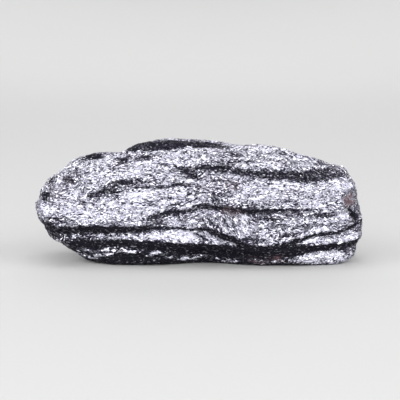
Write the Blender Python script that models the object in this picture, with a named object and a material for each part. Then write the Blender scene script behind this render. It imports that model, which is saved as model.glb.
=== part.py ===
"""Specular hematite: one long stone made of stacked, lens-shaped sheets of flaky iron ore.

The stone lies along X and rests on a flat under its middle, at Z = 0. Its broad bright face looks along -Y.
Sizes are written in millimetres, and MM turns them into metres where they reach the mesh.
"""

import math

import bmesh
import bpy
import numpy as np
from mathutils import Vector, noise

MM = 0.001

# Driving dimensions. They are the plain form's, and the sheets stand a little proud of it all round.
LENGTH = 110.0
DEPTH = 35.5
HEIGHT = 40.5
CENTRE_HEIGHT = 19.0  # the level that the outline's radii are measured from
SQUARENESS = 3.2  # 2 would round the sections like an ellipse, more flattens the broad faces
CURVE_STEPS = 24  # steps along a smooth curve from each of its points to the next

# The outline seen along +Y, as (x, z), clockwise from the left tip. The flat cuts off what is below Z = 0.
OUTLINE = [
    (-55.0, 17.5), (-53.9, 21.9), (-51.4, 26.0), (-46.8, 30.9), (-41.5, 34.2), (-34.5, 35.2),
    (-27.0, 35.5), (-15.0, 37.0), (0.0, 37.8), (10.0, 37.9), (19.5, 38.2), (27.5, 36.5),
    (34.5, 33.3), (42.5, 30.9), (48.8, 30.2), (51.8, 26.0), (53.2, 21.5), (53.8, 17.8),
    (55.0, 13.8), (53.6, 8.4), (52.0, 2.0), (46.0, -1.6), (30.0, -2.2), (0.0, -2.2),
    (-25.0, -2.2), (-35.0, -0.4), (-41.4, 2.3), (-45.8, 4.5), (-50.1, 7.8), (-53.6, 12.3),
]  # fmt: skip

# How much of half the depth the front and the back reach, along X, as (x, front, back).
PLAN = [
    (-55, 0.95, 1.00), (-42, 0.92, 0.97), (-26, 0.95, 1.03), (-8, 0.99, 1.01), (10, 1.01, 0.95),
    (28, 1.03, 0.93), (42, 1.00, 0.97), (55, 0.97, 1.00),
]  # fmt: skip

# Flat breaks across the back, top and ends, as (the direction each one faces, how much it takes off).
BREAKS = [
    ((0.60, 0.76, 0.25), 3.4), ((-0.55, 0.70, 0.45), 3.0), ((0.05, 0.62, 0.78), 2.2),
    ((-0.30, 0.80, -0.52), 2.4), ((0.80, 0.35, -0.48), 1.4), ((-0.80, -0.52, -0.30), 1.2),
]  # fmt: skip
BREAK_SOFTNESS = 0.25  # the share of the depth past a break that still stands proud of it

# Each ledge is a sheet's overhanging edge, as rows of (x, height of the lip, height of the foot, drop
# inwards).
FRONT_LEDGES = {
    "crown": [
        (-16, 34.6, 33.9, 0.0), (-10.5, 34.4, 33.4, 0.8), (-5.5, 33.7, 31.8, 1.4), (-2.5, 33.2, 31.6, 1.6),
        (1, 33.8, 32.1, 1.8), (5, 34.0, 31.8, 2.0), (10, 33.8, 31.5, 2.3), (14, 33.0, 31.3, 2.5),
        (17.5, 32.7, 30.5, 2.8), (22, 32.3, 29.4, 3.1), (27, 32.2, 29.1, 3.2), (32, 32.2, 28.5, 3.2),
        (35, 32.3, 28.1, 3.2), (39.5, 32.1, 28.3, 2.9), (43, 32.0, 28.8, 2.3), (47, 31.4, 29.8, 1.8),
        (51, 30.2, 29.0, 1.0),
    ],
    "shoulder": [
        (-40, 24.3, 23.2, 0.0), (-36.5, 24.6, 23.4, 0.8), (-33.5, 25.5, 23.5, 1.3), (-31, 27.0, 24.2, 1.6),
        (-28.5, 28.3, 25.2, 1.8), (-25.5, 29.1, 26.4, 1.7), (-22, 29.4, 26.9, 1.5), (-19, 29.6, 27.8, 1.2),
        (-15.5, 29.2, 28.2, 0.6), (-12, 28.8, 28.2, 0.0),
    ],
    "middle": [
        (-20, 16.8, 15.6, 0.0), (-16.5, 17.9, 16.3, 0.9), (-14, 18.8, 16.6, 1.4), (-9, 19.8, 18.0, 1.8),
        (-6, 20.0, 18.2, 1.8), (-3.5, 20.4, 18.3, 1.7), (-1.5, 21.3, 19.0, 1.7), (1, 21.7, 19.8, 1.6),
        (4.5, 21.4, 19.7, 1.7), (8.5, 21.1, 19.3, 1.9), (12.5, 20.7, 18.7, 2.0), (17, 20.2, 18.3, 2.1),
        (22, 20.1, 18.7, 1.8), (28, 20.0, 18.7, 1.4), (34, 19.9, 18.9, 1.0), (40, 19.8, 19.2, 0.0),
    ],
    "belly": [
        (-54, 15.6, 12.0, 1.0), (-50, 15.0, 10.6, 1.8), (-48, 14.0, 10.3, 2.4), (-46, 13.6, 10.4, 2.8),
        (-43, 13.9, 10.7, 3.2), (-39, 14.2, 11.3, 3.4), (-32, 14.1, 11.0, 3.4), (-26, 14.2, 11.1, 3.2),
        (-20.5, 14.3, 11.6, 2.9), (-15, 14.2, 12.5, 2.5), (-11, 14.1, 12.6, 2.3), (-6, 14.0, 12.8, 2.2),
        (-1, 14.1, 12.8, 2.3), (2, 14.1, 12.6, 2.5), (4, 13.6, 11.4, 2.7), (6.5, 12.8, 10.0, 2.9),
        (8.5, 11.9, 9.1, 3.0), (11, 10.9, 8.5, 3.0), (13.5, 9.6, 7.9, 2.8), (17, 8.4, 7.2, 2.3),
        (21, 8.0, 6.9, 2.0), (25, 8.5, 7.2, 1.9), (30, 9.7, 8.4, 1.9), (35, 10.9, 9.4, 1.8),
        (40, 12.0, 10.7, 1.8), (46.5, 12.5, 11.1, 1.6), (50, 13.5, 12.2, 1.2), (54, 15.0, 14.0, 0.5),
    ],
    "skirt": [
        (-50, 8.0, 5.6, 0.9), (-45, 8.1, 5.2, 1.8), (-42, 8.5, 4.9, 2.2), (-39, 8.7, 5.2, 2.5),
        (-35, 8.8, 5.7, 2.6), (-32, 9.0, 6.1, 2.6), (-29, 9.3, 6.4, 2.6), (-25.5, 9.5, 6.9, 2.6),
        (-22, 9.3, 6.4, 2.8), (-19, 9.0, 5.8, 2.9), (-12.5, 9.0, 5.1, 3.1), (-7.5, 8.6, 4.2, 3.3),
        (2, 8.1, 3.3, 3.5), (7, 7.7, 3.0, 3.4), (13.5, 7.0, 2.8, 3.1), (19.5, 6.6, 2.7, 2.9),
        (25, 6.8, 3.1, 3.0), (30, 8.0, 3.4, 3.1), (33, 8.4, 3.9, 3.1), (37, 7.9, 4.9, 2.8),
        (43, 8.0, 5.1, 2.6), (47, 8.2, 5.5, 2.2), (51, 8.4, 6.2, 1.6), (54, 8.6, 6.8, 1.0),
    ],
    "hem": [
        (-34, 5.4, 4.7, 0.0), (-27, 5.4, 4.4, 1.0), (-20, 5.0, 3.8, 1.2), (-13, 4.5, 3.4, 1.0),
        (-7, 4.0, 3.3, 0.0),
    ],
}  # fmt: skip
BACK_LEDGES = {
    "crown": [
        (-44, 31.6, 30.6, 0.0), (-37, 32.6, 30.4, 2.0), (-26, 32.9, 29.6, 3.0), (-12, 33.8, 30.6, 2.8),
        (0, 33.0, 31.2, 1.8), (10, 31.6, 30.4, 0.9), (16, 31.2, 29.6, 1.2), (24, 31.6, 29.2, 2.2),
        (34, 31.9, 28.8, 2.8), (44, 31.0, 28.4, 2.1), (51, 29.8, 28.4, 1.2),
    ],
    "shoulder": [
        (-50, 23.6, 22.0, 0.5), (-42, 24.6, 22.4, 1.6), (-32, 26.6, 24.2, 2.2), (-22, 27.0, 25.2, 1.8),
        (-12, 25.6, 24.2, 1.0), (-4, 24.0, 22.2, 1.4), (6, 22.6, 19.8, 2.6), (16, 22.9, 20.2, 2.8),
        (26, 24.6, 22.6, 2.0), (36, 26.2, 24.8, 1.4), (46, 26.4, 25.6, 0.0),
    ],
    "middle": [
        (-38, 17.8, 17.0, 0.0), (-30, 19.4, 17.6, 1.4), (-20, 19.8, 17.8, 2.0), (-10, 18.2, 16.6, 1.4),
        (-2, 17.2, 16.2, 0.0), (20, 16.6, 15.8, 0.0), (30, 18.4, 16.6, 1.6), (42, 19.2, 17.4, 1.6),
        (53, 18.2, 17.2, 0.4),
    ],
    "belly": [
        (-55, 15.5, 12.5, 1.2), (-50, 14.6, 11.6, 2.0), (-42, 12.4, 9.8, 2.8), (-30, 11.0, 8.4, 3.0),
        (-18, 11.6, 9.2, 2.4), (-6, 12.8, 11.0, 2.0), (6, 12.6, 10.6, 2.4), (18, 10.8, 8.2, 3.0),
        (32, 11.2, 8.4, 3.0), (42, 13.0, 10.6, 2.2), (49, 13.8, 12.2, 1.4), (54, 14.6, 13.6, 0.5),
    ],
    "skirt": [
        (-50, 7.9, 5.4, 0.9), (-40, 5.8, 4.0, 1.4), (-28, 4.8, 3.4, 1.0), (-14, 5.6, 3.8, 1.6),
        (0, 6.8, 4.2, 2.2), (12, 6.0, 3.6, 1.8), (24, 4.9, 3.0, 1.4), (36, 6.4, 4.2, 1.8),
        (47, 7.4, 5.8, 1.8), (54, 7.6, 6.2, 1.2),
    ],
}  # fmt: skip
FACING_BLEND = 0.4  # a side's ledges fade out where its normal turns this far past the rim
REACH = 4.0  # how far above its lip and below its foot a ledge still swells or hollows the face

# The ledges of the top, as (which way across Y they step down from, rows). The rows are as above, with
# places in y for the heights, times that sign.
TOP_LEDGES = {
    "front_brow": (1, [
        (4, -4.6, -6.0, 0.0), (14, -5.0, -7.0, 1.4), (26, -4.4, -6.6, 1.7), (36, -3.6, -5.6, 1.4),
        (46, -2.8, -4.0, 0.0),
    ]),
    "rear_brow": (-1, [
        (-48, -4.0, -5.4, 0.0), (-38, -5.6, -7.6, 1.6), (-24, -6.6, -9.0, 2.0), (-8, -8.0, -10.4, 1.9),
        (6, -8.6, -10.4, 1.4), (16, -8.4, -9.8, 0.0),
    ]),
    "left_brow": (1, [
        (-50, 2.6, 1.0, 0.0), (-44, 1.6, -0.4, 1.5), (-36, -0.6, -2.8, 1.7), (-29, -3.0, -4.6, 0.9),
        (-24, -4.4, -5.6, 0.0),
    ]),
    "right_brow": (-1, [
        (6, -1.0, -2.2, 0.0), (18, -1.8, -3.8, 1.3), (32, -3.2, -5.4, 1.7), (43, -3.4, -5.4, 1.4),
        (50, -2.8, -4.2, 0.0),
    ]),
}  # fmt: skip
TOP_FACING = (0.45, 0.8)  # how far up the normal points where these ledges start and where they are whole

# Narrow grooves in the front face, as (points along it as (x, z), depth, half its width).
FRONT_GROOVES = {
    "shoulder_seam": ([(-22, 27.0), (-16, 27.1), (-8, 27.6), (0.5, 27.9), (12, 27.6)], 0.9, 0.7),
    "crown_notch": ([(-5, 32.2), (-3, 30.8), (-0.5, 30.0), (3, 29.8)], 1.0, 1.1),
    "middle_branch": ([(18.5, 19.2), (21, 17.8), (23.5, 16.3), (29, 16.3)], 1.0, 0.7),
    "belly_branch": ([(-3, 12.6), (0, 11.3), (2, 10.1), (4.5, 9.0)], 0.6, 0.6),
    "right_streaks": ([(24, 23.2), (30, 21.9), (38, 21.4), (46, 22.4)], 0.7, 0.8),
    "right_seam": ([(28, 15.0), (34, 14.2), (42, 14.4), (50, 15.6)], 0.7, 0.7),
    "fold_seam": ([(3, 19.0), (6.5, 15.4), (11, 12.8), (18, 10.8), (27, 12.0)], 0.8, 0.8),
    "left_end": ([(-50, 24.6), (-51, 22.4), (-50.4, 19.4)], 0.8, 1.4),
    "left_seam": ([(-52, 19.2), (-44, 19.6), (-34, 18.4), (-25, 19.0)], 0.6, 0.8),
    "right_end_arc": ([(48.5, 19.6), (50.6, 17.8), (52.3, 15.4), (52.7, 12.8)], 1.3, 1.1),
    "rust_hollow": ([(48.6, 22.6), (51.0, 21.8), (53.4, 20.2)], 1.1, 1.8),
}  # fmt: skip

# The sheet that shows behind the front one's upper edge, as rows of (x, rise), and the share of that rise
# across the top, as (y, share): a shallow trench, then its front wall, then its slope down behind.
CREST = [
    (-30, 0.0), (-25.5, 0.3), (-22.5, 1.7), (-18, 2.7), (-12, 3.2), (-6, 2.6), (0, 1.8), (6, 0.6),
    (12, 0.1), (18, 0.0),
]  # fmt: skip
CREST_PROFILE = [
    (-13, 0.0), (-9.5, 0.02), (-7.6, -0.1), (-5.4, 0.86), (-3, 1.0), (4, 0.86), (11, 0.35), (18, 0.0),
]  # fmt: skip

CREST_FACING = (0.1, 0.7)  # how far up the normal points where the crest starts and where it is whole

# Hollows and bosses of the top, ends, back and underside, as (place, half its length along X, half its
# width, rise), with a fall written as a negative rise.
BUMPS = [
    ((1, -13, 0), 9.0, 6.0, -4.4), ((-30, 6, 36), 9.0, 4.0, -1.3), ((30, 9, 36), 12.0, 4.0, -1.5),
    ((38, -4, 34), 9.0, 3.0, 0.9), ((-44, 2, 31), 6.0, 5.0, -0.9), ((-10, 19, 22), 12.0, 4.0, -1.2),
    ((40, 16, 22), 8.0, 4.0, -1.3), ((14, 18, 14), 10.0, 3.5, 1.0), ((-38, 15, 14), 8.0, 4.0, 0.9),
    ((54, 6, 22), 4.0, 5.0, -1.2), ((-54, 6, 22), 4.0, 5.0, -1.1), ((-36, 12, 2), 9.0, 5.0, -1.2),
    ((8, 8, 40), 14.0, 3.0, 0.8), ((-40, -16, 21), 9.0, 3.5, 0.7), ((36, -18, 25), 10.0, 3.0, 0.6),
    ((-4, -10.5, 37.5), 18.0, 3.2, 1.7), ((54, -5, 19), 4.0, 3.0, -1.0),
]  # fmt: skip

# The thin sheets whose edges crop out all round: how wide each one shows, how far they waver, over waves of
# WAVER_SIZE, how proud their edges stand on the front and elsewhere, and the size of the patches shown.
SHEET_WIDTH = 4.8
WAVER = 6.0
WAVER_SIZE = (34.0, 13.0, 13.0)
SHEET_EDGE = (0.45, 0.95)
SHEET_PATCH_SIZE = (20.0, 7.0, 7.0)
EDGE_SHARE = 0.3  # the share of a sheet's width that its broken edge takes up
LYING_FACES = (0.5, 0.85)  # how level a face is where its sheets are counted along Y instead of Z
PATCH_RIM = (-0.25, 0.35)  # the noise where a patch of edges starts and where it is whole
WAVER_SEED = 7.0
PATCH_SEED = 3.0

# The uneven swell of the whole surface: longer along X than across, and a finer one over it.
SWELL_SIZES = ((26.0, 10.0, 10.0), (8.0, 3.2, 3.2))
SWELL_HEIGHTS = (1.1, 0.5)

SPHERE_SUBDIVISIONS = 7
KEPT_FACES = 0.124  # the share of the fine mesh's faces that the finished solid keeps
FLAT_MARGIN = 20.0  # how far the cutter of the resting flat reaches past the stone

STEEL_GREY = (0.19, 0.19, 0.215, 1.0)
METALLIC = 0.85
ROUGHNESS = 0.38


def clear_scene():
    """Remove every object that the file opened with."""
    for old in list(bpy.data.objects):
        bpy.data.objects.remove(old, do_unlink=True)


def new_collection(name):
    """A collection of that name, linked to the scene."""
    collection = bpy.data.collections.new(name)
    bpy.context.scene.collection.children.link(collection)
    return collection


def smooth_step(low, high, value):
    """0 below low, 1 above high, and smooth between."""
    t = np.clip((value - low) / (high - low), 0, 1)
    return t * t * (3 - 2 * t)


def smooth_curve(points, closed):
    """Points along the Catmull-Rom curve through the given ones."""
    points = np.array(points, float)
    if closed:
        padded = np.concatenate([points[-1:], points, points[:2]])
    else:
        padded = np.concatenate([2 * points[:1] - points[1:2], points, 2 * points[-1:] - points[-2:-1]])
    t = (np.arange(CURVE_STEPS) / CURVE_STEPS)[:, None]
    spans = []
    for before, start, end, after in zip(padded, padded[1:], padded[2:], padded[3:]):
        rise = 2 * start + (end - before) * t
        bend = (2 * before - 5 * start + 4 * end - after) * t**2
        twist = (3 * start - before - 3 * end + after) * t**3
        spans.append((rise + bend + twist) / 2)
    return np.concatenate(spans)


def along(x, rows, column):
    """A column of the rows as a smooth function of x, held at its end values past the ends."""
    rows = np.array(rows, float)
    places = rows[:, 0]
    values = rows[:, column]
    slopes = np.gradient(values, places)
    x = np.clip(x, places[0], places[-1])
    span = np.clip(np.searchsorted(places, x, side="right") - 1, 0, len(places) - 2)
    width = places[span + 1] - places[span]
    t = (x - places[span]) / width
    level = values[span] * (1 + 2 * t) * (1 - t) ** 2 + values[span + 1] * t**2 * (3 - 2 * t)
    lean = slopes[span] * t * (1 - t) ** 2 + slopes[span + 1] * t**2 * (t - 1)
    return level + width * lean


def wavy(points, size, seed=0.0):
    """Smooth noise of about -1 to 1 at each point, with waves of the given size along each axis.

    Each seed has its own waves.
    """
    return np.array([noise.noise(Vector(place)) for place in points / np.array(size) + seed])


def outline_polar():
    """The outline as (angles, radii) about the stone's centre, with the angles in rising order."""
    curve = smooth_curve(OUTLINE, closed=True) - (0.0, CENTRE_HEIGHT)
    angles = np.arctan2(curve[:, 1], curve[:, 0])
    order = np.argsort(angles)
    return angles[order], np.hypot(curve[:, 0], curve[:, 1])[order]


def pebble(directions):
    """Each unit direction's point on a squared pebble with the given outline and plan."""
    rim = np.hypot(directions[:, 0], directions[:, 2])
    face = np.abs(directions[:, 1])
    squared = (rim**SQUARENESS + face**SQUARENESS) ** (-1 / SQUARENESS)
    angle = np.arctan2(HEIGHT * directions[:, 2], LENGTH * directions[:, 0])
    radius = rim * squared * np.interp(angle, *outline_polar(), period=2 * math.pi)
    x = radius * np.cos(angle)
    reach = np.where(directions[:, 1] < 0, -along(x, PLAN, 1), along(x, PLAN, 2))
    return np.stack([x, reach * face * squared * DEPTH / 2, CENTRE_HEIGHT + radius * np.sin(angle)], axis=1)


def broken(points):
    """The points with the flat breaks made: what lay past each one is pressed back almost to it."""
    points = points.copy()
    for facing, taken in BREAKS:
        facing = np.array(facing) / np.linalg.norm(facing)
        past = points @ facing
        past = np.maximum(past - past.max() + taken, 0)
        points -= facing * (past * (1 - BREAK_SOFTNESS))[:, None]
    return points


def ledge_relief(x, level, rows):
    """How far a ledge moves the face outwards: its lip stands proud and its foot is set back."""
    lip = along(x, rows, 1)
    foot = along(x, rows, 2)
    drop = np.maximum(along(x, rows, 3), 0.0)
    half_wall = (lip - foot) / 2
    above = (level - (lip + foot) / 2) / half_wall
    wall = np.clip(above, -1, 1)
    away = np.maximum(np.abs(above) - 1, 0) * half_wall / REACH
    return drop / 2 * (1.5 * wall - 0.5 * wall**3) * np.exp(-away)


def groove_relief(x, z, points, depth, half_width):
    """How far a groove moves the face: a rounded cut along a smooth line, shallower towards its ends."""
    line = smooth_curve(points, closed=False)
    share = np.linspace(0, 1, len(line))
    fall = depth * np.sqrt(4 * share * (1 - share))
    deepest = np.zeros(len(x))
    for (x0, z0), here in zip(line, fall):
        distance = np.hypot(x - x0, z - z0)
        deepest = np.maximum(deepest, here * np.exp(-((distance / half_width) ** 2)))
    return -deepest


def crest_rise(x, y, upward):
    """How far the rear sheet's crest lifts the top of the stone."""
    rise = np.maximum(along(x, CREST, 1), 0.0) * along(y, CREST_PROFILE, 1)
    return rise * smooth_step(*CREST_FACING, upward)


def bump_relief(points):
    """How far the hollows and bosses move the surface."""
    total = np.zeros(len(points))
    for place, half_length, half_width, rise in BUMPS:
        away = (points - place) / (half_length, half_width, half_width)
        total += rise * np.exp(-(away**2).sum(axis=1))
    return total


def sheet_relief(points, normals, front):
    """How far the thin sheets' edges move the surface: each sheet swells slowly and then breaks off."""
    waver = WAVER * wavy(points, WAVER_SIZE, WAVER_SEED)
    swollen = []
    for across in (points[:, 2], points[:, 1]):
        phase = ((across + waver) / SHEET_WIDTH) % 1.0
        swollen.append(np.minimum(phase / (1 - EDGE_SHARE), (1 - phase) / EDGE_SHARE) - 0.5)
    level = smooth_step(*LYING_FACES, np.abs(normals[:, 2]))
    patch = smooth_step(*PATCH_RIM, wavy(points, SHEET_PATCH_SIZE, PATCH_SEED))
    height = SHEET_EDGE[0] * front + SHEET_EDGE[1] * (1 - front)
    return height * patch * (swollen[0] * (1 - level) + swollen[1] * level)


def relief(points, normals):
    """How far each point of the plain form moves along its normal."""
    x, y, z = points.T
    front = smooth_step(-FACING_BLEND, FACING_BLEND, -normals[:, 1])
    moved = crest_rise(x, y, normals[:, 2]) + bump_relief(points) + sheet_relief(points, normals, front)
    for size, height in zip(SWELL_SIZES, SWELL_HEIGHTS):
        moved += height * wavy(points, size)
    for rows in FRONT_LEDGES.values():
        moved += front * ledge_relief(x, z, rows)
    for rows in BACK_LEDGES.values():
        moved += (1 - front) * ledge_relief(x, z, rows)
    top = smooth_step(*TOP_FACING, normals[:, 2])
    for sign, rows in TOP_LEDGES.values():
        moved += top * ledge_relief(x, sign * y, rows)
    for line, depth, half_width in FRONT_GROOVES.values():
        moved += front * groove_relief(x, z, line, depth, half_width)
    return moved


def read_vectors(items, name):
    """One vector attribute of all the items, as rows."""
    values = np.empty(len(items) * 3)
    items.foreach_get(name, values)
    return values.reshape(-1, 3)


def write_places(mesh, points):
    """Move the mesh's vertices to points given in millimetres."""
    mesh.vertices.foreach_set("co", (points * MM).ravel())
    mesh.update()


def stone_mesh():
    """The stone's fine surface, made from a sphere: first the plain form, then its relief."""
    mesh = bpy.data.meshes.new("hematite_stone")
    shape = bmesh.new()
    bmesh.ops.create_icosphere(shape, subdivisions=SPHERE_SUBDIVISIONS, radius=1.0)
    shape.to_mesh(mesh)
    shape.free()
    directions = read_vectors(mesh.vertices, "co")
    directions /= np.linalg.norm(directions, axis=1)[:, None]
    points = broken(pebble(directions))
    write_places(mesh, points)
    normals = read_vectors(mesh.vertices, "normal")
    points += normals * relief(points, normals)[:, None]
    middle = (points.min(axis=0) + points.max(axis=0)) / 2
    write_places(mesh, points - (middle[0], middle[1], 0.0))
    return mesh


def resting_flat_cutter(collection):
    """A block whose top face is the plane that the stone rests on."""
    side = LENGTH + 2 * FLAT_MARGIN
    bpy.ops.mesh.primitive_cube_add(size=side * MM, location=(0, 0, -side / 2 * MM))
    cutter = bpy.context.object
    cutter.name = "resting_flat_cutter"
    cutter.hide_render = True
    cutter.display_type = "WIRE"
    for holder in list(cutter.users_collection):
        holder.objects.unlink(cutter)
    collection.objects.link(cutter)
    return cutter


def specular_ore():
    """Dark steel-grey iron ore with a metallic shine."""
    material = bpy.data.materials.new("specular_ore")
    material.use_nodes = True
    shader = material.node_tree.nodes["Principled BSDF"]
    shader.inputs["Base Color"].default_value = STEEL_GREY
    shader.inputs["Metallic"].default_value = METALLIC
    shader.inputs["Roughness"].default_value = ROUGHNESS
    return material


def build():
    """Make the stone: its fine surface, thinned to few faces and cut flat underneath."""
    clear_scene()
    parts = new_collection("specular_hematite")
    cutters = new_collection("cutters")
    stone = bpy.data.objects.new("hematite_stone", stone_mesh())
    parts.objects.link(stone)
    stone.data.materials.append(specular_ore())
    thin = stone.modifiers.new("few_faces", "DECIMATE")
    thin.ratio = KEPT_FACES
    cut = stone.modifiers.new("resting_flat", "BOOLEAN")
    cut.operation = "DIFFERENCE"
    cut.solver = "EXACT"
    cut.object = resting_flat_cutter(cutters)
    return stone


build()
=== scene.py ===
"""The looks of a specular hematite specimen: its flaky skin, its loose flakes and the studio it lies in.

The stone lies along X and its broad bright face looks along -Y. Places on it are in millimetres, and MM
turns them into metres where they reach a mesh. What a user would change is in the PropertyGroups, in
Blender's own units.
"""

import math

import bpy
import numpy as np
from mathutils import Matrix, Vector, noise
from mathutils.bvhtree import BVHTree


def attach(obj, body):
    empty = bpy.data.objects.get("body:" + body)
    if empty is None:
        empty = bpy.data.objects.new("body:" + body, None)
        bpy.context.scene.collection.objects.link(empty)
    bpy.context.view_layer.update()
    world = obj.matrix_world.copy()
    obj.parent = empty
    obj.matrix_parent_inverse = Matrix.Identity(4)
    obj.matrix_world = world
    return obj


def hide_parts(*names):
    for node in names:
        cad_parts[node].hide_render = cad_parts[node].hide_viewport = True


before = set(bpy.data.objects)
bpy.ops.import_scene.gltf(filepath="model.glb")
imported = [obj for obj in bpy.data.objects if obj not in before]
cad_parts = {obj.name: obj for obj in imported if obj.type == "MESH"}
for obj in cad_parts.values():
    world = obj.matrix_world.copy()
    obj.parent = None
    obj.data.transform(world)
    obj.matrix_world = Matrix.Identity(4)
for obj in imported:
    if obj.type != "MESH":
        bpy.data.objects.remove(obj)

bl_info = {
    "name": "Specular hematite",
    "version": (1, 0, 0),
    "blender": (4, 5, 0),
    "location": "View3D > Sidebar > Hematite",
    "description": "Dresses a hematite stone in its flaky, glittering skin",
    "category": "Object",
}

MM = 0.001
STONE = "hematite_stone"
SKIN = "hematite_skin"

# The skin's grid: rays leave a straight spine inside the stone, and fan out round its two ends.
SPINE_HALF = 38.0
SPINE_HEIGHT = 18.5
CAP_TURN = 26.0  # how much of the surface the fan round each end covers, measured along the stone
GIRTH = 130.0  # about how far it is round the stone
FIRST_SPOKE = -0.25  # of a turn: the rays round the spine begin straight down
SMOOTHING = 0.6  # the solid's facets are rounded off over this distance
BLUR_REACH = 2.5  # how many widths of a bell curve are followed
LEAST_LENGTH = 1e-12  # keeps a division finite
TIP_FRONT = 0.5  # how far the grid's two tips count as front

# The pile of sheets as the front shows it. Each ledge has a dark wall, dull and darkened with painted shade,
# as rows of (x, height of its lip, height of its foot, how much of it shows).
LIP, FOOT, SHOWN = 1, 2, 3
FRONT_LEDGES = {
    "skirt": [
        (-50, 8, 6.2, 0.6), (-45, 8.3, 6, 1), (-42, 8.7, 5.8, 1), (-39, 8.9, 6, 1), (-35, 9.1, 6.1, 1),
        (-32, 9.4, 6.2, 1), (-29, 9.6, 6.4, 1), (-25.5, 9.9, 6.9, 1), (-22, 9.8, 6.4, 1),
        (-19, 9.4, 5.8, 1), (-12.5, 9.2, 5.1, 1), (-7.5, 8.8, 4, 1), (2, 8.5, 3.1, 1), (7, 8.2, 2.8, 1),
        (13.5, 7.9, 2.7, 1), (19.5, 7.1, 2.6, 1), (25, 6.8, 3.1, 1), (30, 8, 3.4, 1), (33, 8.4, 3.9, 1),
        (37, 7.8, 4.9, 1), (43, 8, 5.1, 1), (47, 8.1, 5.4, 1), (51, 8.3, 6.1, 1), (54, 8.6, 6.8, 0.7),
    ],
    "belly": [
        (-54, 15.6, 12, 0.2), (-50, 14.9, 10.6, 0.8), (-48, 14, 10.3, 1), (-46, 13.6, 10.4, 1),
        (-43, 13.9, 10.7, 1), (-39, 14.2, 11.3, 1), (-32, 14.1, 11, 1), (-26, 14.2, 11.1, 1),
        (-20.5, 14.3, 11.9, 1), (-15, 14.3, 13, 1), (-11, 14.2, 13.2, 0.8), (-6, 14, 13.2, 0.8),
        (-1, 14, 13, 1), (2, 14.1, 13, 1), (4, 13.6, 11.7, 1), (6.5, 12.9, 10.5, 1), (8.5, 11.9, 9.6, 1),
        (11, 11.2, 9.1, 1), (13.5, 9.7, 8.2, 1), (17, 8.4, 7.4, 1), (21, 8.1, 6.8, 1), (25, 8.6, 7.2, 1),
        (30, 9.7, 8.5, 1), (35, 11.1, 9.6, 1), (40, 12.4, 10.9, 0.85), (46.5, 12.6, 11.3, 0.85),
        (50, 13.6, 12.2, 1), (54, 15, 14, 0.7),
    ],
    "middle": [
        (-20, 16.8, 15.6, 0), (-16.5, 17.9, 16.3, 0.7), (-14, 18.8, 16.9, 0.8), (-11.5, 19.5, 17.8, 0.9),
        (-9, 19.9, 18.1, 1), (-6, 20, 18.2, 1), (-3.5, 20.4, 18.3, 1), (-1.5, 21.4, 18.9, 1),
        (1, 21.7, 19.9, 0.9), (4.5, 21.3, 19.8, 0.9), (8.5, 21.1, 19.4, 1), (12.5, 20.7, 18.6, 1),
        (17, 20.2, 18.3, 1), (22, 20.1, 18.9, 0.75), (28, 20, 18.8, 0.8), (34, 19.9, 18.9, 0.7),
        (40, 19.8, 19.2, 0),
    ],
    "shoulder": [
        (-40, 24.3, 23.2, 0), (-36.5, 24.6, 23.4, 0.5), (-33.5, 25.5, 23.5, 1), (-31, 27, 24.1, 1),
        (-28.5, 28.8, 25.2, 1), (-25.5, 29.7, 26.6, 1), (-22, 29.8, 27.2, 1), (-19, 29.6, 28.2, 0.8),
        (-15.5, 29.2, 28.2, 0.4), (-12, 28.8, 28.2, 0),
    ],
    "crown": [
        (-16, 34.6, 33.9, 0), (-10.5, 34.2, 33.2, 0.4), (-5.5, 33.3, 32, 0.45), (-2.5, 33.2, 32.1, 0.45),
        (1, 34, 32.5, 0.8), (5, 34, 31.9, 0.9), (10, 33.9, 31.5, 1), (14, 33, 31.3, 1),
        (17.5, 32.6, 30.5, 1), (22, 32.3, 29.4, 1), (27, 32.1, 29, 1), (32, 32.1, 28.4, 1),
        (35, 31.9, 28.1, 1), (39.5, 31.6, 28, 1), (43, 31.7, 28.3, 1), (47, 31.2, 29.8, 0.9),
        (51, 30.2, 29, 0.8),
    ],
}  # fmt: skip

# The levels of the pile's bottom, its ledges and its top where the sheets lie level.
NOMINAL_LEVELS = (-3.0, 6.0, 12.0, 19.5, 27.0, 32.5, 44.0)
LEVEL_STEP = 0.5  # how far apart the levels are compared for the grain's slope
LEAST_RUN = 0.001  # the least run of a slope
END_FACING = 0.75  # the grain runs along Y where the normal is this near to X

# The fold in the front: the sheets turn over in an ellipse round this place.
FOLD_PLACE = (9.0, 14.5)
FOLD_REACH = (13.0, 7.5)
FOLD_RIM = (0.25, 1.0)  # where the turn is still whole and where it ends, as a share of its reach
FOLD_TURN = math.radians(-50)

# How dark each ledge's wall is painted, from 0, as flaky as the rest, to 1: partly its dull broken face and
# partly painted shade.
LEDGE_DULL_AND_SHADE = {"skirt": 1.0, "belly": 1.0, "middle": 0.6, "shoulder": 0.45, "crown": 0.58}

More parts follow.
